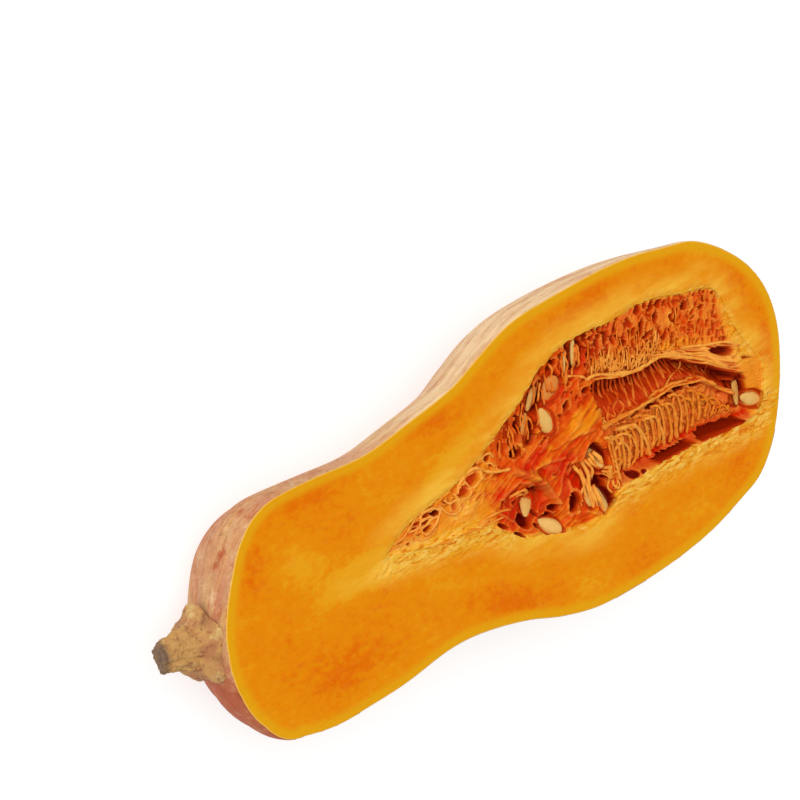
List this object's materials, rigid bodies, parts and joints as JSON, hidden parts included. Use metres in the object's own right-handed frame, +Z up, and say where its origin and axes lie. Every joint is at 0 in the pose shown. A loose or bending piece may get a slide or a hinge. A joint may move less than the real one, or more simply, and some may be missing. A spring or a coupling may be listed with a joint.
{
  "type": "butternut squash half",
  "caption": "Butternut squash cut in half lengthways, lying on its rind with the orange flesh, stringy seed cavity, loose seeds and woody stem showing.",
  "frame": {"origin": "middle of the bounding box's footprint, on the surface that the half lies on", "axes": "+X along the squash from stem to blossom end, +Y across it, +Z up, the cut face up and tipped 4.1 degrees down towards the stem"},
  "size_m": [0.3732, 0.1568, 0.0877],
  "materials": {
    "flesh": "moist orange flesh on the cut, thin satin rind, tan and pink with orange-brown streaks, outside",
    "pulp": "wet stringy pulp, deep orange to red, shiny on its fibres",
    "stem": "dry corky stem, beige with brown dots and a darker cut end",
    "seed": "smooth cream seed coat with a slightly darker rim"
  },
  "bodies": {
    "root": {"squash_half": "flesh", "pulp": "pulp", "stem": "stem", "seed_01": "seed", "seed_02": "seed", "seed_03": "seed", "seed_04": "seed", "seed_05": "seed", "seed_06": "seed", "seed_07": "seed", "seed_08": "seed", "seed_09": "seed", "seed_10": "seed", "seed_11": "seed", "seed_12": "seed", "seed_13": "seed"}
  },
  "joints": []
}
